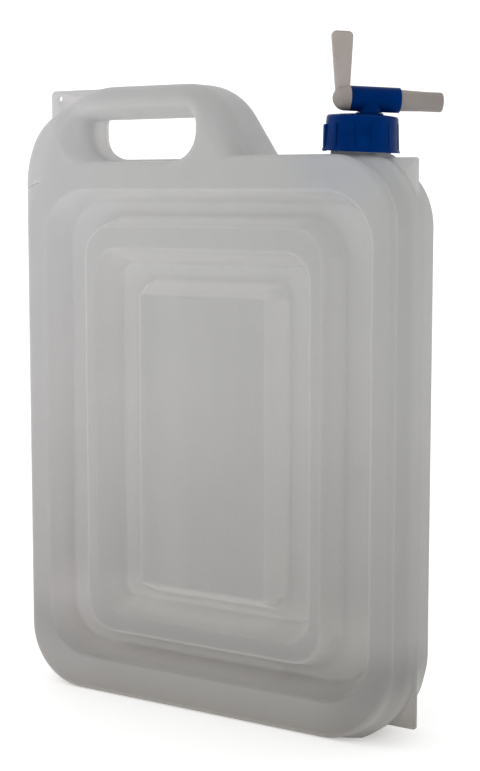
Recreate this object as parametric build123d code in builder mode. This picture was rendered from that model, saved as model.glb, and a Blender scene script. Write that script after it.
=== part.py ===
"""Foldable water jerry can with a screw cap and a lever tap, shown folded flat.

Millimetres, +Z up, -Y towards the front. The origin is the middle of the base. The can
is one blow-moulded hollow skin whose front and back each carry two deep pleats, so that
the middle panels can be pulled out. The neck and everything on it lean a little to the
right, square to the tilted neck plane.
"""

from build123d import *
import os
from math import cos, radians, sin

# ---- driving dimensions: can -------------------------------------------------
WALL = 1.2
CAN_HEIGHT = 426.0  # base to shoulder
RIM_LEFT = -167.0
RIM_RIGHT = 165.2
RIM_HALF_DEPTH = 32.5
TOP_CORNER = 52.0
LOW_LEFT_CORNER = 48.0
LOW_RIGHT_CORNER = 58.0
RIM_EDGE = 5.0
BAND_HALF_WIDTH = 171.0  # raised band round the parting plane
BAND_STANDOFF = 5.8  # its corners stand this far outside the rim's
BAND_HALF_DEPTH = 14.0
BAND_SLOPE_DEPTH = 11.0
BAND_SLOPE_ANGLE = 28.6

# handle: a thick rounded bar over the can's left shoulder, sloping down to the right
HANDLE_TOP = 480.5
HANDLE_ROOT = 340.0
HANDLE_RIGHT = 84.0
HANDLE_CORNER = 77.0
HANDLE_EDGE = 22.0
SLOPE_TOP_X = 5.0
SLOPE_FOOT_X = 42.0
SLOPE_TOP_RADIUS = 52.0
SLOPE_FOOT_RADIUS = 6.0

# pleats: every ring is (half width, bottom z, top z, corner radius) at its crest
FLOOR_DEPTH = 8.0  # how far the pleat floors stay from the parting plane
RIM_INNER = (148.0, 28.5, 400.5, 40.0)
RIDGE_OUTER = (107.0, 53.0, 373.5, 25.0)
RIDGE_INNER = (98.0, 66.5, 356.0, 22.0)
PANEL = (57.0, 94.5, 322.0, 2.5)
PANEL_HALF_DEPTH = 28.5
RIM_WALL_ANGLE = 19.0
RIDGE_OUTER_ANGLE = 17.0
RIDGE_INNER_ANGLE = 23.0
PANEL_ANGLE = 27.0
CREST_ROUND = 3.0
FLOOR_ROUND = 3.0
TOOL_LEAD = 1.0  # how far a cutting form starts in front of the face that it cuts

# hand grip: a pocket from each side with a flared mouth, and a hole through the web between
WEB_THICKNESS = 2.4
POCKET_LEFT = -121.0
POCKET_RIGHT = -11.7
POCKET_LOW = 423.0
GRIP_UNDERSIDE = 455.5
POCKET_FLARE = 20.0
LOW_FLARE = 3.0
FLARE_DEPTH = 34.0
FLARE_ANGLES = (0, 25, 45, 60, 72)
MOUTH_ROUND = 6.0
MOUTH_REGION = ((-140.0, 5.0), (-40.0, -25.0), (418.0, 472.0))  # x, y and z ranges of its edges
HOLE_LEFT = -111.0
HOLE_RIGHT = -14.0
HOLE_LOW = 424.5
HOLE_TOP_RADIUS = 5.0
HOLE_LOW_RADIUS = 23.0

# square tabs left on the parting line at the four corners
TAB_THICKNESS = 2.4
HANG_HOLE_RADIUS = 2.1
HANG_HOLE = (-155.2, 473.6)
HANDLE_TAB = (-164.0, HANDLE_TOP - 0.6)
SHOULDER_TAB = (167.0, 423.6)
FOOT_TAB = (170.9, 9.0)
TAB_REACH = 58.0
TAB_RADIUS = 4.5
SMALL_TAB_RADIUS = 2.0

# ---- driving dimensions: neck and cap ------------------------------------------
NECK_X = 120.6
NECK_TILT = 2.9
NECK_BORE = 19.4
NECK_RADIUS = 21.6
NECK_ROOT = -8.0
NECK_HEIGHT = 21.3
THREAD_PITCH = 4.0
THREAD_TURNS = 1.5
THREAD_ROOT_WIDTH = 1.9
THREAD_CREST_WIDTH = 0.9
THREAD_SINK = 0.4  # how far a thread's root is buried in its wall
NECK_THREAD_CREST = 23.3
NECK_THREAD_START = 9.0
CAP_BORE = 23.9
CAP_THREAD_CREST = 22.4
CAP_THREAD_START = 7.0
CAP_RIM = 1.8
CAP_LIP_HEIGHT = 0.9  # short upright lip under the flare
CAP_LIP_DRAFT = 0.2
CAP_FLARE_TOP = 5.0
CAP_FLARE_RADIUS = 28.2
CAP_BASE_RADIUS = 27.1
CAP_TOP_RADIUS = 25.7
CAP_EDGE = 27.2
CAP_EDGE_ROUND = 2.2
CAP_CROWN = 29.1
CROWN_FULLNESS = 0.75  # share of the crown's rise reached half way in
CAP_SEAT = 24.0  # ceiling that presses on the gasket
CAP_CEILING = 26.0
CEILING_RADIUS = 17.0
CAP_RIBS = 12
RIB_WIDTH = 2.6
RIB_HEIGHT = 0.6
RIB_TOP = 22.6
RIB_SINK = 1.0  # how far a rib is buried in the cap's wall
RIB_ROUND = 0.5
RIB_PHASE = -13.0
GASKET_INNER = 18.8
GASKET_OUTER = 23.4
GASKET_LOW = 21.6
GASKET_HIGH = 23.8

# ---- driving dimensions: tap ----------------------------------------------------
STEM_OFFSET = 5.5
SPOUT_YAW = 42.0
STEM_RADIUS = 8.5
STEM_FOOT_RADIUS = 8.8
STEM_FOOT_RISE = 1.6
STEM_BORE = 4.4
BOSS_RADIUS = 10.0
BOSS_TOP = 29.5
STEM_FOOT = 29.8
SPIGOT_RADIUS = 6.0
SPIGOT_CLEARANCE = 0.06
LIP_RADIUS = 6.8
LIP_LEAD = 0.4  # how much the spigot's end is narrowed to start it in the hole
LIP_LAND = 0.5
LIP_LOW = 24.0
LIP_HIGH = 25.7
STEM_RING_HEIGHT = 27.9
RING_SECTION = 0.7
RING_GROOVE_WIDTH = 1.8
RING_GROOVE_DEPTH = 1.5
AXIS_HEIGHT = 39.2
BARREL_RADIUS = 8.95
BARREL_BORE = 7.75
BARREL_BACK = -15.0
BARREL_FRONT = 21.0
PLUG_RADIUS = 7.68
PLUG_BORE = 4.5
PLUG_BACK = -11.0
PLUG_RINGS = (-9.0, 13.5)
PORT_RADIUS = 3.2
SPOUT_END = 52.5
SPOUT_RADIUS = 7.05
SPOUT_TAPER_END = 38.0  # where the spout has narrowed from the plug's radius to its own
SPOUT_TIP_ROUND = 1.1
SPOUT_BORE = 5.7
SPOUT_BORE_START = 24.0
HUB_GAP = 0.3
HUB_RADIUS = 8.9
HUB_END = -27.4
LEVER_TOP = 46.7
LEVER_FOOT = 3.0
LEVER_FOOT_SPAN = (-25.4, -15.5)
LEVER_TOP_SPAN = (-30.8, -14.9)
LEVER_THICKNESS = 6.4
LEVER_CORNER = 3.6
LEVER_EDGE = 1.8

# planes of the tilted neck: NECK looks down its axis, NECK_SIDE holds profiles (radius, height)
NECK = Plane(
    origin=(NECK_X, 0, CAN_HEIGHT),
    x_dir=(cos(radians(NECK_TILT)), 0, -sin(radians(NECK_TILT))),
    z_dir=(sin(radians(NECK_TILT)), 0, cos(radians(NECK_TILT))),
)
NECK_SIDE = Plane(NECK.origin, x_dir=NECK.x_dir, z_dir=-NECK.y_dir)
NECK_AXIS = Axis(NECK.origin, NECK.z_dir)

# planes of the tap: the stem stands beside the neck axis, the barrel crosses it at AXIS_HEIGHT
STEM_ORIGIN = NECK.from_local_coords((STEM_OFFSET, 0, 0))
STEM_AXIS = Axis(STEM_ORIGIN, NECK.z_dir)
STEM_SIDE = Plane(STEM_ORIGIN, x_dir=NECK.x_dir, z_dir=-NECK.y_dir)
SPOUT_DIR = NECK.x_dir.rotate(Axis((0, 0, 0), NECK.z_dir), SPOUT_YAW)
BARREL_ORIGIN = NECK.from_local_coords((STEM_OFFSET, 0, AXIS_HEIGHT))
BARREL_AXIS = Axis(BARREL_ORIGIN, SPOUT_DIR)
BARREL_SIDE = Plane(BARREL_ORIGIN, x_dir=SPOUT_DIR, z_dir=SPOUT_DIR.cross(NECK.z_dir))


def save(piece, label):
    """Name a finished piece and write it as its own STEP file."""
    piece.part.label = label
    export_step(piece.part, f"parts/{label}.step")


# ---- can body --------------------------------------------------------------------
def outline(corners, inset):
    """Front view of a block from its (x, z, radius) corners, all of it drawn in by inset."""
    with BuildSketch(Plane.XZ) as face:
        with BuildLine():
            Polyline([(x, z) for x, z, radius in corners], close=True)
        make_face()
        for x, z, radius in corners:
            fillet(face.vertices().sort_by_distance((x, z))[0], radius)
        if inset:
            offset(amount=-inset)
    return face.sketch


def rounded_block(corners, edge, inset):
    """Block from the parting plane to the front face, with its front edges rounded."""
    with BuildPart() as block:
        extrude(outline(corners, inset), amount=RIM_HALF_DEPTH - inset)
        fillet(block.faces().sort_by(Axis.Y)[0].edges(), edge - inset)
    return block.part


def ring_block(ring, grow, crest, depth, flare):
    """Tapered block with the plan of one pleat ring.

    It runs from the crest plane, this far in front of the parting plane, to depth. The
    flare angle makes it wider towards the parting plane when positive.
    """
    half_width, low, high, corner = ring
    with BuildPart() as block:
        with BuildSketch(Plane.XZ.offset(crest)):
            with Locations((0, (low + high) / 2)):
                RectangleRounded(2 * (half_width + grow), high - low + 2 * grow, corner + grow)
        extrude(amount=-(crest - depth), taper=-flare)
    return block.part


def pleat(outer, core, outer_angle, core_angle, core_crest, inset):
    """Cutting form of one pleat: the outer ring's block less the core that stands in it.

    A core with no crest of its own reaches the front face.
    """
    floor = FLOOR_DEPTH - inset
    top = core_crest - inset if core_crest else RIM_HALF_DEPTH + TOOL_LEAD
    with BuildPart() as groove:
        add(ring_block(outer, inset, RIM_HALF_DEPTH + TOOL_LEAD, floor, -outer_angle))
        fillet(groove.faces().sort_by(Axis.Y)[-1].edges(), FLOOR_ROUND)
        add(ring_block(core, -inset, top, floor, core_angle), mode=Mode.SUBTRACT)
    return groove.part


def pocket_form(inset):
    """Cutting form of the hand pocket, which flares from the web out to the front face."""
    with BuildPart() as pocket:
        for angle in FLARE_ANGLES:
            depth = WEB_THICKNESS / 2 - inset + FLARE_DEPTH * sin(radians(angle))
            flare = 1 - cos(radians(angle))
            spread = POCKET_FLARE * flare + inset
            low = POCKET_LOW - LOW_FLARE * flare - inset
            left = POCKET_LEFT - spread
            right = POCKET_RIGHT + spread
            top = GRIP_UNDERSIDE + spread
            with BuildSketch(Plane.XZ.offset(depth)) as level:
                with BuildLine():
                    Polyline((left, low), (right, low), (right, top), (left, top), close=True)
                make_face()
                fillet(level.vertices().group_by(Axis.Y)[0], HOLE_LOW_RADIUS)
                fillet(level.vertices().group_by(Axis.Y)[-1], HOLE_TOP_RADIUS + spread)
        loft()
    return pocket.part


def band_form(inset):
    """Front half of the raised band: a straight wall and a slope down to the rim's side."""
    width = BAND_HALF_WIDTH - inset
    over = BAND_STANDOFF - inset
    corners = [
        (-width, -over, LOW_LEFT_CORNER + over),
        (-width, CAN_HEIGHT + over, TOP_CORNER + over),
        (width, CAN_HEIGHT + over, TOP_CORNER + over),
        (width, -over, LOW_RIGHT_CORNER + over),
    ]
    with BuildPart() as band:
        extrude(outline(corners, 0), amount=BAND_HALF_DEPTH)
        extrude(band.faces().sort_by(Axis.Y)[0], amount=BAND_SLOPE_DEPTH, taper=BAND_SLOPE_ANGLE)
        split(bisect_by=Plane.XY.offset(inset), keep=Keep.TOP)
        split(bisect_by=Plane.XY.offset(CAN_HEIGHT - inset), keep=Keep.BOTTOM)
    return band.part


def half_form(inset):
    """Front half of the can's closed form, with its faces drawn in by inset."""
    front = -(RIM_HALF_DEPTH - inset)
    rim_corners = [
        (RIM_LEFT, 0, LOW_LEFT_CORNER),
        (RIM_LEFT, CAN_HEIGHT, TOP_CORNER),
        (RIM_RIGHT, CAN_HEIGHT, TOP_CORNER),
        (RIM_RIGHT, 0, LOW_RIGHT_CORNER),
    ]
    handle_corners = [
        (RIM_LEFT, HANDLE_ROOT, SLOPE_FOOT_RADIUS),
        (RIM_LEFT, HANDLE_TOP, HANDLE_CORNER),
        (SLOPE_TOP_X, HANDLE_TOP, SLOPE_TOP_RADIUS),
        (SLOPE_FOOT_X, CAN_HEIGHT, SLOPE_FOOT_RADIUS),
        (HANDLE_RIGHT, CAN_HEIGHT, SLOPE_FOOT_RADIUS),
        (HANDLE_RIGHT, HANDLE_ROOT, SLOPE_FOOT_RADIUS),
    ]
    with BuildPart() as form:
        add(rounded_block(rim_corners, RIM_EDGE, inset))
        add(rounded_block(handle_corners, HANDLE_EDGE, inset))
        add(band_form(inset))
        outer_loop = form.edges().filter_by_position(Axis.Y, front - 0.01, front + 0.01)
        add(pleat(RIM_INNER, RIDGE_OUTER, RIM_WALL_ANGLE, RIDGE_OUTER_ANGLE, None, inset),
            mode=Mode.SUBTRACT)
        add(pleat(RIDGE_INNER, PANEL, RIDGE_INNER_ANGLE, PANEL_ANGLE, PANEL_HALF_DEPTH, inset),
            mode=Mode.SUBTRACT)
        crests = form.edges().filter_by_position(Axis.Y, front - 0.01, front + 0.01) - outer_loop
        fillet(crests, CREST_ROUND)
        add(pocket_form(inset), mode=Mode.SUBTRACT)
        mouth = form.edges()
        for axis, (start, end) in zip((Axis.X, Axis.Y, Axis.Z), MOUTH_REGION):
            mouth = mouth.filter_by_position(axis, start, end)
        fillet(mouth, MOUTH_ROUND - inset)
    return form.part


def corner_tabs():
    """The four square tabs, each reaching back into the can's rounded corner."""
    tabs = [
        (HANDLE_TAB, -1, -1, TAB_RADIUS),
        (SHOULDER_TAB, 1, -1, SMALL_TAB_RADIUS),
        (FOOT_TAB, 1, 1, SMALL_TAB_RADIUS),
        ((-FOOT_TAB[0], FOOT_TAB[1]), -1, 1, SMALL_TAB_RADIUS),
    ]
    with BuildPart() as plates:
        for (x, z), side, rise, radius in tabs:
            with BuildSketch(Plane.XZ) as tab:
                with Locations((x - side * TAB_REACH / 2, z + rise * TAB_REACH / 2)):
                    Rectangle(TAB_REACH, TAB_REACH)
                fillet(tab.vertices().sort_by_distance((x, z))[0], radius)
            extrude(amount=TAB_THICKNESS / 2, both=True)
    return plates.part


def thread(radius, crest, start, phase):
    """Helical rib on a wall of this radius, rising one pitch a turn about the neck axis."""
    inward = crest < radius
    sink = THREAD_SINK if inward else -THREAD_SINK
    half_root = THREAD_ROOT_WIDTH / 2
    half_crest = THREAD_CREST_WIDTH / 2
    with BuildPart() as rib:
        with BuildLine() as path:
            Helix(THREAD_PITCH, THREAD_PITCH * THREAD_TURNS, radius)
        with BuildSketch(Plane.XZ):
            with BuildLine():
                Polyline(
                    (radius + sink, -half_root),
                    (crest, -half_crest),
                    (crest, half_crest),
                    (radius + sink, half_root),
                    close=True,
                )
            make_face()
        sweep(path=path.line, is_frenet=True)
    return rib.part.rotate(Axis.Z, phase).moved(NECK.offset(start).location)


def neck_tube(radius):
    """Round bar on the neck axis, from inside the can to the neck's mouth."""
    with BuildPart() as tube:
        with BuildSketch(NECK.offset(NECK_ROOT)):
            Circle(radius)
        extrude(amount=NECK_HEIGHT - NECK_ROOT)
    return tube.part


def web_hole():
    """Cutting form of the finger opening through the web."""
    width = HOLE_RIGHT - HOLE_LEFT
    with BuildPart() as hole:
        with BuildSketch(Plane.XZ) as face:
            with Locations(((HOLE_LEFT + HOLE_RIGHT) / 2, (HOLE_LOW + GRIP_UNDERSIDE) / 2)):
                Rectangle(width, GRIP_UNDERSIDE - HOLE_LOW)
            fillet(face.vertices().group_by(Axis.Y)[0], HOLE_LOW_RADIUS)
            fillet(face.vertices().group_by(Axis.Y)[-1], HOLE_TOP_RADIUS)
        extrude(amount=WEB_THICKNESS, both=True)
    return hole.part


def make_can_body():
    """Hollow skin: outer halves, tabs and neck, less the inner halves and the bores."""
    with BuildPart() as skin:
        add(half_form(0))
        mirror(about=Plane.XZ)
        add(corner_tabs())
        add(neck_tube(NECK_RADIUS))
        add(half_form(WALL), mode=Mode.SUBTRACT)
        mirror(half_form(WALL), about=Plane.XZ, mode=Mode.SUBTRACT)
        add(neck_tube(NECK_BORE), mode=Mode.SUBTRACT)
        add(web_hole(), mode=Mode.SUBTRACT)
        with Locations(Plane.XZ.location * Location((*HANG_HOLE, 0))):
            Cylinder(HANG_HOLE_RADIUS, 2 * TAB_THICKNESS, mode=Mode.SUBTRACT)
        add(thread(NECK_RADIUS, NECK_THREAD_CREST, NECK_THREAD_START, 0))
    return skin


# ---- cap and gasket ----------------------------------------------------------------
def revolved(points, side, axis):
    """Solid of revolution of a closed profile drawn on a side plane."""
    with BuildPart() as solid:
        with BuildSketch(side):
            with BuildLine():
                Polyline(points, close=True)
            make_face()
        revolve(axis=axis)
    return solid.part


def make_screw_cap():
    """Ribbed cap with a flared rim, an inside thread and an off-centre hole for the stem."""
    with BuildPart() as cap:
        with BuildSketch(NECK_SIDE) as profile:
            with BuildLine():
                Polyline(
                    (CAP_BORE, CAP_RIM),
                    (CAP_FLARE_RADIUS, CAP_RIM),
                    (CAP_FLARE_RADIUS - CAP_LIP_DRAFT, CAP_RIM + CAP_LIP_HEIGHT),
                    (CAP_BASE_RADIUS, CAP_FLARE_TOP),
                    (CAP_TOP_RADIUS, CAP_EDGE),
                )
                ThreePointArc(
                    (CAP_TOP_RADIUS, CAP_EDGE),
                    (CAP_TOP_RADIUS / 2, CAP_EDGE + CROWN_FULLNESS * (CAP_CROWN - CAP_EDGE)),
                    (0, CAP_CROWN),
                )
                Polyline(
                    (0, CAP_CROWN),
                    (0, CAP_CEILING),
                    (CEILING_RADIUS, CAP_CEILING),
                    (CEILING_RADIUS, CAP_SEAT),
                    (CAP_BORE, CAP_SEAT),
                    (CAP_BORE, CAP_RIM),
                )
            make_face()
            top_edge = profile.vertices().sort_by_distance((CAP_TOP_RADIUS, CAP_EDGE))[0]
            fillet(top_edge, CAP_EDGE_ROUND)
        revolve(axis=NECK_AXIS)
        # grip ribs, swept from the flare to just under the top edge
        for index in range(CAP_RIBS):
            turn = NECK.rotated((0, 0, RIB_PHASE + index * 360 / CAP_RIBS))
            ends = [(CAP_FLARE_TOP - RIB_SINK, CAP_BASE_RADIUS), (RIB_TOP, CAP_TOP_RADIUS)]
            for height, radius in ends:
                with BuildSketch(turn.offset(height)):
                    with Locations((radius - RIB_SINK + RIB_HEIGHT / 2, 0)):
                        RectangleRounded(2 * RIB_SINK + RIB_HEIGHT, RIB_WIDTH, RIB_ROUND)
            loft()
        # flat boss that the tap's foot turns on, and the hole through it
        with BuildSketch(NECK.offset(CAP_CEILING)):
            with Locations((STEM_OFFSET, 0)):
                Circle(BOSS_RADIUS)
        extrude(amount=BOSS_TOP - CAP_CEILING)
        with BuildSketch(NECK.offset(CAP_CEILING)):
            with Locations((STEM_OFFSET, 0)):
                Circle(SPIGOT_RADIUS + SPIGOT_CLEARANCE)
        extrude(amount=BOSS_TOP - CAP_CEILING, mode=Mode.SUBTRACT)
        add(thread(CAP_BORE, CAP_THREAD_CREST, CAP_THREAD_START, 0))
    return cap


def make_cap_gasket():
    """Flat ring that the cap presses on the neck's mouth."""
    with BuildPart() as gasket:
        with BuildSketch(NECK.offset(GASKET_LOW)):
            Circle(GASKET_OUTER)
            Circle(GASKET_INNER, mode=Mode.SUBTRACT)
        extrude(amount=GASKET_HIGH - GASKET_LOW)
    return gasket


# ---- tap -------------------------------------------------------------------------
def barrel_profile(radius, start, end):
    """Corner points (along, radius) of a plain bar on the barrel axis."""
    return [(start, 0), (start, radius), (end, radius), (end, 0)]


def make_tap_housing():
    """Barrel on a hollow stem, whose spigot snaps through the cap."""
    with BuildPart() as housing:
        groove = SPIGOT_RADIUS - RING_GROOVE_DEPTH
        half_groove = RING_GROOVE_WIDTH / 2
        add(
            revolved(
                [
                    (0, LIP_LOW),
                    (SPIGOT_RADIUS - LIP_LEAD, LIP_LOW),
                    (LIP_RADIUS, LIP_HIGH - LIP_LAND),
                    (LIP_RADIUS, LIP_HIGH),
                    (SPIGOT_RADIUS, LIP_HIGH),
                    (SPIGOT_RADIUS, STEM_RING_HEIGHT - half_groove),
                    (groove, STEM_RING_HEIGHT - half_groove),
                    (groove, STEM_RING_HEIGHT + half_groove),
                    (SPIGOT_RADIUS, STEM_RING_HEIGHT + half_groove),
                    (SPIGOT_RADIUS, STEM_FOOT),
                    (STEM_FOOT_RADIUS, STEM_FOOT),
                    (STEM_RADIUS, STEM_FOOT + STEM_FOOT_RISE),
                    (STEM_RADIUS, AXIS_HEIGHT),
                    (0, AXIS_HEIGHT),
                ],
                STEM_SIDE,
                STEM_AXIS,
            )
        )
        add(revolved(barrel_profile(BARREL_RADIUS, BARREL_BACK, BARREL_FRONT), BARREL_SIDE, BARREL_AXIS))
        add(
            revolved(barrel_profile(BARREL_BORE, BARREL_BACK, BARREL_FRONT), BARREL_SIDE, BARREL_AXIS),
            mode=Mode.SUBTRACT,
        )
        with BuildSketch(Plane(STEM_ORIGIN, x_dir=NECK.x_dir, z_dir=NECK.z_dir).offset(LIP_LOW)):
            Circle(STEM_BORE)
        extrude(amount=AXIS_HEIGHT - LIP_LOW, mode=Mode.SUBTRACT)
    return housing


def ring_section(side, along, across):
    """Solid ring of round section: its centre line runs at this radius round the side's axis."""
    with BuildSketch(side) as section:
        with Locations((along, across)):
            Circle(RING_SECTION)
    return section.sketch


def make_stem_o_ring():
    """Seal in the groove of the stem's spigot."""
    with BuildPart() as ring:
        add(ring_section(STEM_SIDE, SPIGOT_RADIUS - RING_SECTION, STEM_RING_HEIGHT))
        revolve(axis=STEM_AXIS)
    return ring


def make_plug_o_rings():
    """The two seals on the plug, one each side of its port."""
    with BuildPart() as rings:
        for place in PLUG_RINGS:
            add(ring_section(BARREL_SIDE, place, PLUG_RADIUS - RING_SECTION))
        revolve(axis=BARREL_AXIS)
    return rings


def plug_profile():
    """Half section of hub, plug and spout along the barrel axis."""
    floor = PLUG_RADIUS - RING_GROOVE_DEPTH
    half_groove = RING_GROOVE_WIDTH / 2
    hub_front = BARREL_BACK - HUB_GAP
    hub_back = HUB_END + HUB_RADIUS
    grooves = []
    for place in PLUG_RINGS:
        grooves += [
            (place - half_groove, PLUG_RADIUS),
            (place - half_groove, floor),
            (place + half_groove, floor),
            (place + half_groove, PLUG_RADIUS),
        ]
    with BuildSketch(BARREL_SIDE) as profile:
        with BuildLine():
            Polyline(
                [(hub_back, HUB_RADIUS), (hub_front, HUB_RADIUS), (hub_front, PLUG_RADIUS)]
                + grooves
                + [(BARREL_FRONT, PLUG_RADIUS), (SPOUT_TAPER_END, SPOUT_RADIUS)]
                + [(SPOUT_END, SPOUT_RADIUS), (SPOUT_END, SPOUT_BORE)]
                + [(SPOUT_BORE_START, SPOUT_BORE), (SPOUT_BORE_START, PLUG_BORE), (PLUG_BACK, PLUG_BORE)]
                + [(PLUG_BACK, 0), (HUB_END, 0)]
            )
            CenterArc((hub_back, 0), HUB_RADIUS, start_angle=90, arc_size=90)
        make_face()
        fillet(profile.vertices().sort_by_distance((SPOUT_END, SPOUT_RADIUS))[0], SPOUT_TIP_ROUND)
    return profile.sketch


def make_lever_spout():
    """One white moulding: lever, domed hub, hollow plug with its port, and spout."""
    with BuildPart() as lever:
        with BuildSketch(BARREL_SIDE) as face:
            with BuildLine():
                Polyline(
                    (LEVER_FOOT_SPAN[0], LEVER_FOOT),
                    (LEVER_FOOT_SPAN[1], LEVER_FOOT),
                    (LEVER_TOP_SPAN[1], LEVER_TOP),
                    (LEVER_TOP_SPAN[0], LEVER_TOP),
                    close=True,
                )
            make_face()
            fillet(face.vertices().group_by(Axis.Y)[-1], LEVER_CORNER)
        extrude(amount=LEVER_THICKNESS / 2, both=True)
        sides = Axis(BARREL_ORIGIN, BARREL_SIDE.z_dir)
        fillet(lever.faces().sort_by(sides)[0].edges(), LEVER_EDGE)
        fillet(lever.faces().sort_by(sides)[-1].edges(), LEVER_EDGE)
    with BuildPart() as moulding:
        add(plug_profile())
        revolve(axis=BARREL_AXIS)
        add(lever.part)
        with BuildSketch(BARREL_SIDE):
            Circle(PORT_RADIUS)
        extrude(amount=PLUG_RADIUS, both=True, mode=Mode.SUBTRACT)
    return moulding


os.makedirs("parts", exist_ok=True)
save(make_can_body(), "can_body")
save(make_screw_cap(), "screw_cap")
save(make_cap_gasket(), "cap_gasket")
save(make_tap_housing(), "tap_housing")
save(make_stem_o_ring(), "stem_o_ring")
save(make_lever_spout(), "lever_spout")
save(make_plug_o_rings(), "plug_o_rings")
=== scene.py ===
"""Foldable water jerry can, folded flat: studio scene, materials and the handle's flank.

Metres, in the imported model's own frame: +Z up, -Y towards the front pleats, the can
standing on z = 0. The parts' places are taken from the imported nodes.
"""

import math

import bmesh
import bpy
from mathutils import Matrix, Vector


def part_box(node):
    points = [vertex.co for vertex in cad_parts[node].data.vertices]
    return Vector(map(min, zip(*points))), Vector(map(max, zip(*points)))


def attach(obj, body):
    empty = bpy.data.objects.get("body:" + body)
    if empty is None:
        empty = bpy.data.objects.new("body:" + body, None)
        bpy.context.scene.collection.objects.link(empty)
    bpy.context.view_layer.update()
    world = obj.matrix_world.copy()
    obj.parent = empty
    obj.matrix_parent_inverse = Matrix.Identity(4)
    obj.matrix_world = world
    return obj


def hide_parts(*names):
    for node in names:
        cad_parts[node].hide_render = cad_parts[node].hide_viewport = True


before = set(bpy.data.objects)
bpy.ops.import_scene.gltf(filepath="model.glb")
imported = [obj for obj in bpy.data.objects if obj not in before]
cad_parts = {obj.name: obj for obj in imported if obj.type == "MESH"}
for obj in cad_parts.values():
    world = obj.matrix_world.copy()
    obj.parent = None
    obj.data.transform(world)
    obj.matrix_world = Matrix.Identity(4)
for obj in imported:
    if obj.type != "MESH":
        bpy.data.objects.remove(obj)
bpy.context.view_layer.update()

# ---- driving values ---------------------------------------------------------------
CAMERA_AZIMUTH = 33.25  # degrees from straight in front, towards the neck side
CAMERA_PITCH = -6.68
CAMERA_PLACE = (0.70206, -1.0448, 0.39865)
CAMERA_LENS = 76.85
FLOOR_HALF = 4.0
FLOOR_GLOW = 0.31  # light of the sweep itself, so that only the contact shadow shows
SKY_FADE = (0.05, 1.0, 1.18, 0.76)  # light from the horizon and from straight above
SIDE_FADE = (-1.0, 1.0, 1.05, 0.88)  # light from the left and from the right
SOFT_BOX_POWER = 1.5
SOFT_BOX_PLACE = (-0.9, -0.9, 1.5)
SOFT_BOX_TARGET = (0.0, 0.0, 0.25)
SOFT_BOX_SIZE = (0.9, 0.9)

# ---- places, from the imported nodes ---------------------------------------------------
CAN_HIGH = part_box("can_body")[1]
CAP_LOW, CAP_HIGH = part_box("screw_cap")
TAP_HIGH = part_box("tap_housing")[1]
HALF_WIDTH, FACE_DEPTH, TOP = CAN_HIGH
CAP_X = (CAP_LOW[0] + CAP_HIGH[0]) / 2
CAP_Z = CAP_LOW[2]
BARREL_Z = TAP_HIGH[2] - 0.012

# ---- the handle's outer flank --------------------------------------------------------
SOFT_EDGE = 0.022  # rounding of the handle's bar
CRISP_EDGE = 0.005  # rounding of the rim
RIM_TOP = 0.426
RIM_CORNER = 0.052  # the rim's upper corner, straightened where the flank covers it
CORNER_REACH = 0.030
FLANK_LOW = RIM_TOP - 0.055
FLANK_RIGHT = -0.55 * HALF_WIDTH
SIDEWAYS = 0.05  # least lean to the left of a point that moves
LEAN_START = 0.45  # lean to the left at which the flank starts
LEAN_SPAN = 0.45  # further lean over which it grows to its full share
SOFT_SLACK = 0.0008  # how far off an edge's round a point may be and still belong to it
CRISP_SLACK = 0.0004
FLAT_RISE = 0.999  # from here a normal is the face's own
TINY = 1e-6

# ---- the can's colour, painted light and shade, and marks ----------------------------
# share of the height and colour of the plain faces there: the plastic's colour with painted
# shade, darker and warmer towards the foot, darkest at the foot as a painted contact shadow
TONES_AND_PAINTED_SHADE = [
    (0.0, (0.145, 0.137, 0.127)),
    (0.05, (0.225, 0.217, 0.207)),
    (0.16, (0.350, 0.340, 0.328)),
    (0.50, (0.433, 0.426, 0.414)),
    (0.92, (0.458, 0.455, 0.449)),
]
PAINTED_COOL_LIGHT = (1.0, 0.985, 1.03)  # painted bluish cast of light on the left side
CAP_REFLECTION_BLUE = (0.25, 0.33, 0.47)  # colour of the painted reflection of the blue cap in the skin
FOLD_REACH = 0.06  # how far round a place the hollow is felt
PAINTED_FOLD_LIGHT = 0.66  # painted light: how much paler the base colour is made in the depth of a fold
PAINTED_POCKET_LIGHT = 0.45  # the same painted light in the hand grip, above the shoulder
PAINTED_FOOT_LIGHT = 0.45  # painted light added at the foot, where the slopes face up
# x, z, radius and strength of two round marks and of the painted shade on the lower right corner
MOULD_MARKS_AND_CORNER_SHADE = (
    (0.068, 0.039, 0.009, 0.05),
    (0.126, 0.195, 0.008, 0.04),
    # painted shade: the lower right corner made darker
    (0.165, 0.015, 0.07, 0.2),
)
SCUFFED = (HALF_WIDTH - 0.006, 0.255, 0.045)  # x, z and reach of the scuffed part of the edge

SCENE = bpy.context.scene


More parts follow.
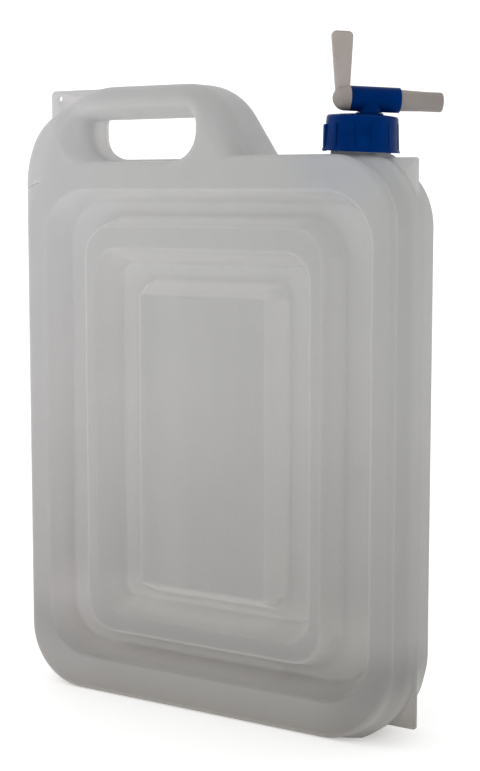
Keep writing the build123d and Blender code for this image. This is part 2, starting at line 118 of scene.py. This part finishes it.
# ---- small helpers -------------------------------------------------------------------
class Nodes:
    """A new material's node tree, with short calls to add and join nodes."""

    def __init__(self, name):
        self.material = bpy.data.materials.new(name)
        self.material.use_nodes = True
        self.tree = self.material.node_tree
        self.shader = self.tree.nodes["Principled BSDF"]

    def add(self, kind, **settings):
        node = self.tree.nodes.new(kind)
        for key, value in settings.items():
            setattr(node, key, value)
        return node

    def link(self, source, target):
        self.tree.links.new(source, target)

    def coords(self):
        return self.add("ShaderNodeTexCoord").outputs["Object"]

    def scaled(self, vector, scale):
        mapping = self.add("ShaderNodeMapping")
        mapping.inputs["Scale"].default_value = scale
        self.link(vector, mapping.inputs["Vector"])
        return mapping.outputs["Vector"]

    def noise(self, vector, scale, detail=3.0, roughness=0.5):
        node = self.add("ShaderNodeTexNoise")
        node.inputs["Scale"].default_value = scale
        node.inputs["Detail"].default_value = detail
        node.inputs["Roughness"].default_value = roughness
        self.link(vector, node.inputs["Vector"])
        return node.outputs["Fac"]

    def ramp(self, value, stops):
        node = self.add("ShaderNodeValToRGB")
        elements = node.color_ramp.elements
        while len(elements) < len(stops):
            elements.new(0.5)
        for element, (place, colour) in zip(elements, stops):
            element.position = place
            element.color = (*colour, 1.0)
        self.link(value, node.inputs["Fac"])
        return node.outputs["Color"]

    def map_range(self, value, low, high, to_low, to_high, smooth=False):
        node = self.add("ShaderNodeMapRange")
        if smooth:
            node.interpolation_type = "SMOOTHSTEP"
        node.inputs["From Min"].default_value = low
        node.inputs["From Max"].default_value = high
        node.inputs["To Min"].default_value = to_low
        node.inputs["To Max"].default_value = to_high
        self.link(value, node.inputs["Value"])
        return node.outputs["Result"]

    def scale_colour(self, colour, factor):
        """The colour times a number."""
        node = self.add("ShaderNodeVectorMath", operation="SCALE")
        self.link(colour, node.inputs["Vector"])
        self.link(factor, node.inputs["Scale"])
        return node.outputs["Vector"]

    def occlusion(self, reach):
        """How open the surface is to its surroundings: one on a free face, less in a hollow."""
        node = self.add("ShaderNodeAmbientOcclusion", samples=4)
        node.inputs["Distance"].default_value = reach
        return node.outputs["AO"]

    def spot(self, x, z, middle_x, middle_z, radius):
        """One at a place of the front view, falling softly to nothing at radius."""
        squares = []
        for value, middle in ((x, middle_x), (z, middle_z)):
            off = self.math("SUBTRACT", value, middle)
            squares.append(self.math("MULTIPLY", off, off))
        away = self.math("SQRT", self.math("ADD", *squares))
        return self.map_range(away, 0.35 * radius, radius, 1.0, 0.0, True)

    def math(self, operation, first, second=None):
        node = self.add("ShaderNodeMath", operation=operation)
        for socket, value in zip(node.inputs, (first, second)):
            if value is None:
                continue
            if isinstance(value, (int, float)):
                socket.default_value = value
            else:
                self.link(value, socket)
        return node.outputs["Value"]

    def mix(self, factor, first, second, blend="MIX"):
        node = self.add("ShaderNodeMix", data_type="RGBA", blend_type=blend)
        sockets = (node.inputs[0], node.inputs[6], node.inputs[7])
        for socket, value in zip(sockets, (factor, first, second)):
            if isinstance(value, (int, float)):
                socket.default_value = value
            elif isinstance(value, tuple):
                socket.default_value = (*value, 1.0)
            else:
                self.link(value, socket)
        return node.outputs[2]

    def bump(self, height, distance, strength=1.0, below=None):
        node = self.add("ShaderNodeBump")
        node.inputs["Distance"].default_value = distance
        node.inputs["Strength"].default_value = strength
        self.link(height, node.inputs["Height"])
        if below is not None:
            self.link(below, node.inputs["Normal"])
        return node.outputs["Normal"]

    def split(self, vector):
        node = self.add("ShaderNodeSeparateXYZ")
        self.link(vector, node.inputs["Vector"])
        return node.outputs

    def set(self, socket, value):
        target = self.shader.inputs[socket]
        if hasattr(value, "is_output"):
            self.link(value, target)
        else:
            target.default_value = value


def dress(node, material):
    """Gives a CAD node's object its finished material."""
    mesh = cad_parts[node].data
    mesh.materials.clear()
    mesh.materials.append(material)


# ---- shape of the handle's flank ---------------------------------------------------------
def off_round(point, edge):
    """How far the point's depth is from where its normal puts it on a front edge's round."""
    return abs(abs(point.co.y) - (FACE_DEPTH - edge) - edge * abs(point.normal.y))


def corner_move(point):
    """Straight out from the rim's round upper corner to the line of its side."""
    up = point.co.z - (RIM_TOP - RIM_CORNER)
    return Vector((math.sqrt(RIM_CORNER**2 - up**2) - RIM_CORNER, 0, 0))


def crisp_reach(level, rise):
    """From the soft edge's centre line to the crisp edge, along a normal's two parts."""
    inner = SOFT_EDGE - CRISP_EDGE
    both = inner * (level + rise)
    under = both**2 - 2 * inner**2 + CRISP_EDGE**2
    reach = min(SOFT_EDGE / max(level, TINY), SOFT_EDGE / max(rise, TINY))
    return min(reach, both + math.sqrt(under)) if under > 0 else reach


def tighten_flank(material):
    """A copy of the can whose handle has the rim's crisp edge down its outer flank.

    On the bar the edge stays large and soft. Points of the large edge move straight out
    from its centre line to where the crisp edge lies, fully on the flank and not at all
    on top of the bar.
    """
    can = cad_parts["can_body"]
    copy = bpy.data.objects.new("can_skin", can.data.copy())
    SCENE.collection.objects.link(copy)
    mesh = bmesh.new()
    mesh.from_mesh(copy.data)
    bmesh.ops.remove_doubles(mesh, verts=mesh.verts, dist=TINY)
    mesh.normal_update()
    moves = []
    for point in mesh.verts:
        normal = point.normal
        if point.co.z < FLANK_LOW or point.co.x > FLANK_RIGHT or normal.x > -SIDEWAYS:
            continue
        rise = abs(normal.y)
        level = math.hypot(normal.x, normal.z)
        if 0 < point.co.z - (RIM_TOP - RIM_CORNER) < CORNER_REACH and rise < FLAT_RISE:
            if off_round(point, CRISP_EDGE) < CRISP_SLACK:
                moves.append((point, corner_move(point)))
                continue
        if off_round(point, SOFT_EDGE) > SOFT_SLACK:
            continue
        lean = -normal.x / max(level, TINY)
        share = min(max((lean - LEAN_START) / LEAN_SPAN, 0.0), 1.0)
        share = share * share * (3 - 2 * share)
        moves.append((point, normal * (crisp_reach(level, rise) - SOFT_EDGE) * share))
    for point, move in moves:
        point.co += move
        point.co.y = min(max(point.co.y, -FACE_DEPTH), FACE_DEPTH)
    mesh.normal_update()
    mesh.to_mesh(copy.data)
    mesh.free()
    for face in copy.data.polygons:
        face.use_smooth = True
    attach(copy, "can")
    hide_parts("can_body")
    copy.data.materials.clear()
    copy.data.materials.append(material)


# ---- materials --------------------------------------------------------------------------
def can_material():
    """Milky translucent polyethylene: satin, cloudy, a little wavy from the blow mould.

    The light that travels inside such a skin fills the pleats; here it is painted light, a paler
    base colour in their floors than on the faces, which keeps the folds soft. The base colour
    also holds painted shade, darker towards the foot and the right, and a painted reflection of
    the blue cap.
    """
    n = Nodes("milky_polyethylene")
    place = n.coords()
    across, depth, height = (n.split(place)[axis] for axis in "XYZ")
    depth_out = n.math("ABSOLUTE", depth)

    # tone of the plain faces, with painted light and shade: brightest high on the left, darker
    # and warmer at the foot and darker on the right, as if the light fell from above and the
    # left, with a painted bluish cast of light on the left side
    tone = n.ramp(n.map_range(height, 0.0, TOP, 0.0, 1.0), TONES_AND_PAINTED_SHADE)
    painted_side_shade = n.map_range(across, -HALF_WIDTH, HALF_WIDTH, 1.07, 0.88)
    tone = n.scale_colour(tone, painted_side_shade)
    painted_left_tint_mask = n.map_range(across, -HALF_WIDTH, -0.3 * HALF_WIDTH, 0.5, 0.0, True)
    tone = n.mix(painted_left_tint_mask, tone, PAINTED_COOL_LIGHT, "MULTIPLY")

    # painted light in the folds: the base colour is made paler in the hollows, standing in for
    # light that passes through the skin
    hollow = n.math("SUBTRACT", 1.0, n.occlusion(FOLD_REACH))
    strength = n.map_range(height, CAP_Z - 0.02, CAP_Z, PAINTED_FOLD_LIGHT, PAINTED_POCKET_LIGHT)
    strength = n.math("ADD", strength, n.map_range(height, 0.06, 0.11, PAINTED_FOOT_LIGHT, 0.0, True))
    painted_hollow_light = n.math("MULTIPLY", n.map_range(hollow, 0.0, 0.6, 0.0, 1.0), strength)
    tone = n.scale_colour(tone, n.math("ADD", painted_hollow_light, 1.0))

    # cloudy thick and thin places, fine grain
    cloud = n.noise(place, 9.0, 3.0, 0.55)
    tone = n.scale_colour(tone, n.map_range(cloud, 0.3, 0.7, 0.975, 1.025))
    streak = n.noise(n.scaled(place, (30.0, 30.0, 3.0)), 1.0, 3.0, 0.6)
    tone = n.scale_colour(tone, n.map_range(streak, 0.3, 0.7, 0.985, 1.015))
    grain = n.noise(place, 1100.0, 2.0, 0.6)
    tone = n.scale_colour(tone, n.map_range(grain, 0.3, 0.7, 0.97, 1.03))

    # marks on the front, the painted shade of the lower right corner, and scuffs on the right
    # edge
    front = n.math("LESS_THAN", depth, 0.0)
    for *mark_or_shade_shape, mark_or_shade_strength in MOULD_MARKS_AND_CORNER_SHADE:
        mark_or_shade = n.math("MULTIPLY", n.spot(across, height, *mark_or_shade_shape), front)
        mark_or_shade = n.math("MULTIPLY", mark_or_shade, mark_or_shade_strength)
        tone = n.scale_colour(tone, n.math("SUBTRACT", 1.0, mark_or_shade))
    scuffs = n.noise(n.scaled(place, (60.0, 60.0, 14.0)), 1.0, 5.0, 0.75)
    scuffs = n.map_range(scuffs, 0.60, 0.70, 0.0, 1.0, True)
    scuffs = n.math("MULTIPLY", scuffs, n.spot(across, height, *SCUFFED))
    tone = n.scale_colour(tone, n.map_range(scuffs, 0.0, 1.0, 1.0, 1.12))

    # trace of the mould's parting plane
    seam = n.map_range(depth_out, 0.00025, 0.0006, 1.0, 0.0, True)
    tone = n.scale_colour(tone, n.map_range(seam, 0.0, 1.0, 1.0, 0.93))
    # painted reflection of the blue cap in the skin below it
    painted_cap_reflection = n.spot(across, height, CAP_X, CAP_Z, 0.050)
    tone = n.mix(n.math("MULTIPLY", painted_cap_reflection, 0.16), tone, CAP_REFLECTION_BLUE)

    n.set("Base Color", tone)
    rough = n.map_range(n.noise(place, 40.0, 4.0, 0.6), 0.3, 0.7, 0.42, 0.54)
    n.set("Roughness", n.math("SUBTRACT", rough, n.math("MULTIPLY", scuffs, 0.1)))
    n.set("IOR", 1.51)
    n.set("Specular IOR Level", 0.30)
    n.set("Subsurface Weight", 0.35)
    n.set("Subsurface Radius", (0.010, 0.0095, 0.009))
    n.set("Subsurface Scale", 1.0)
    wave = n.bump(n.noise(place, 9.0, 1.5, 0.4), 0.0012)
    line = n.bump(seam, 0.00015, 0.8, wave)
    skin = n.bump(n.noise(place, 620.0, 2.0, 0.5), 0.00002, 0.6, line)
    n.set("Normal", skin)
    return n.material


def blue_material():
    """Deep blue polypropylene of cap and tap housing, with worn, slightly duller patches."""
    n = Nodes("blue_polypropylene")
    place = n.coords()
    cloud = n.noise(place, 60.0, 3.0, 0.5)
    tone = n.ramp(cloud, [(0.3, (0.0001, 0.0135, 0.088)), (0.7, (0.0002, 0.0200, 0.122))])
    speck = n.map_range(n.noise(place, 900.0, 3.0, 0.6), 0.62, 0.72, 0.0, 0.12, True)
    n.set("Base Color", n.mix(speck, tone, (0.004, 0.045, 0.17)))
    n.set("Roughness", n.map_range(n.noise(place, 240.0, 4.0, 0.6), 0.3, 0.7, 0.26, 0.38))
    n.set("IOR", 1.49)
    n.set("Specular IOR Level", 0.08)
    n.set("Specular Tint", (0.0, 0.40, 1.0, 1.0))
    n.set("Normal", n.bump(n.noise(place, 1500.0, 2.0, 0.5), 0.00001, 0.6))
    return n.material


def lever_material():
    """Off-white polyethylene of lever and spout, darker below the lever, on the hub and the
    spout.
    """
    n = Nodes("off_white_polyethylene")
    place = n.coords()
    cloud = n.noise(place, 45.0, 3.0, 0.5)
    tone = n.ramp(cloud, [(0.3, (0.335, 0.298, 0.278)), (0.7, (0.365, 0.328, 0.308))])
    height = n.split(place)["Z"]
    # darker below the lever, on the hub and the spout
    tone = n.scale_colour(tone, n.map_range(height, BARREL_Z, BARREL_Z + 0.016, 0.70, 1.0, True))
    n.set("Base Color", tone)
    n.set("Roughness", n.map_range(n.noise(place, 200.0, 3.0, 0.6), 0.3, 0.7, 0.38, 0.50))
    n.set("Specular IOR Level", 0.35)
    n.set("Subsurface Weight", 0.25)
    n.set("Subsurface Radius", (0.004, 0.0035, 0.003))
    n.set("Normal", n.bump(n.noise(place, 900.0, 2.0, 0.5), 0.00002, 0.5))
    return n.material


def rubber_material(name, dark, light):
    """Soft seal rubber with a fine matt surface."""
    n = Nodes(name)
    place = n.coords()
    n.set("Base Color", n.ramp(n.noise(place, 300.0, 3.0, 0.6), [(0.3, dark), (0.7, light)]))
    n.set("Roughness", n.map_range(n.noise(place, 800.0, 3.0, 0.6), 0.3, 0.7, 0.55, 0.75))
    n.set("Normal", n.bump(n.noise(place, 1500.0, 2.0, 0.6), 0.00002, 0.6))
    return n.material


# ---- stage ----------------------------------------------------------------------------------
def add_camera():
    """Camera a little above the can, looking at it from the front and the neck side."""
    data = bpy.data.cameras.new("camera")
    data.lens = CAMERA_LENS
    data.sensor_width = 36.0
    camera = bpy.data.objects.new("camera", data)
    camera.location = CAMERA_PLACE
    camera.rotation_euler = (math.radians(90 + CAMERA_PITCH), 0, math.radians(CAMERA_AZIMUTH))
    SCENE.collection.objects.link(camera)
    SCENE.camera = camera


def add_floor():
    """Plain pale floor that fades into the white surroundings."""
    mesh = bpy.data.meshes.new("floor")
    h = FLOOR_HALF
    mesh.from_pydata([(-h, -h, 0), (h, -h, 0), (h, h, 0), (-h, h, 0)], [], [(0, 1, 2, 3)])
    floor = bpy.data.objects.new("floor", mesh)
    SCENE.collection.objects.link(floor)
    n = Nodes("floor")
    place = n.coords()
    pale = [(0.3, (0.93, 0.93, 0.93)), (0.7, (0.95, 0.95, 0.95))]
    n.set("Base Color", n.ramp(n.noise(place, 3.0, 2.0, 0.5), pale))
    n.set("Roughness", 0.9)
    n.set("Emission Color", (1.0, 1.0, 1.0, 1.0))
    n.set("Emission Strength", FLOOR_GLOW)
    mesh.materials.append(n.material)


def add_soft_box():
    """Faint rectangular light above the can's front left."""
    data = bpy.data.lights.new("soft_box_left", "AREA")
    data.shape = "RECTANGLE"
    data.size, data.size_y = SOFT_BOX_SIZE
    data.energy = SOFT_BOX_POWER
    light = bpy.data.objects.new("soft_box_left", data)
    light.location = SOFT_BOX_PLACE
    aim = Vector(SOFT_BOX_TARGET) - Vector(SOFT_BOX_PLACE)
    light.rotation_euler = aim.to_track_quat("-Z", "Y").to_euler()
    SCENE.collection.objects.link(light)


def add_surroundings():
    """White surroundings, brightest low down and on the left."""
    world = bpy.data.worlds.new("studio")
    SCENE.world = world
    world.use_nodes = True
    tree = world.node_tree
    background = tree.nodes["Background"]
    background.inputs["Color"].default_value = (1.0, 1.0, 1.0, 1.0)
    direction = tree.nodes.new("ShaderNodeTexCoord").outputs["Generated"]
    parts = tree.nodes.new("ShaderNodeSeparateXYZ")
    tree.links.new(direction, parts.inputs["Vector"])
    strengths = []
    for axis, (low, high, at_low, at_high) in (("Z", SKY_FADE), ("X", SIDE_FADE)):
        fade = tree.nodes.new("ShaderNodeMapRange")
        fade.inputs["From Min"].default_value = low
        fade.inputs["From Max"].default_value = high
        fade.inputs["To Min"].default_value = at_low
        fade.inputs["To Max"].default_value = at_high
        tree.links.new(parts.outputs[axis], fade.inputs["Value"])
        strengths.append(fade.outputs["Result"])
    product = tree.nodes.new("ShaderNodeMath")
    product.operation = "MULTIPLY"
    tree.links.new(strengths[0], product.inputs[0])
    tree.links.new(strengths[1], product.inputs[1])
    tree.links.new(product.outputs["Value"], background.inputs["Strength"])
    SCENE.view_settings.view_transform = "Standard"


# ---- build ----------------------------------------------------------------------------------
add_camera()
add_floor()
add_surroundings()
add_soft_box()
can_plastic = can_material()
blue_plastic = blue_material()
tighten_flank(can_plastic)
dress("can_body", can_plastic)
dress("screw_cap", blue_plastic)
dress("tap_housing", blue_plastic)
dress("lever_spout", lever_material())
dress("cap_gasket", rubber_material("grey_gasket", (0.20, 0.20, 0.195), (0.26, 0.26, 0.255)))
black_rubber = rubber_material("black_seal", (0.012, 0.012, 0.012), (0.022, 0.022, 0.022))
dress("stem_o_ring", black_rubber)
dress("plug_o_rings", black_rubber)
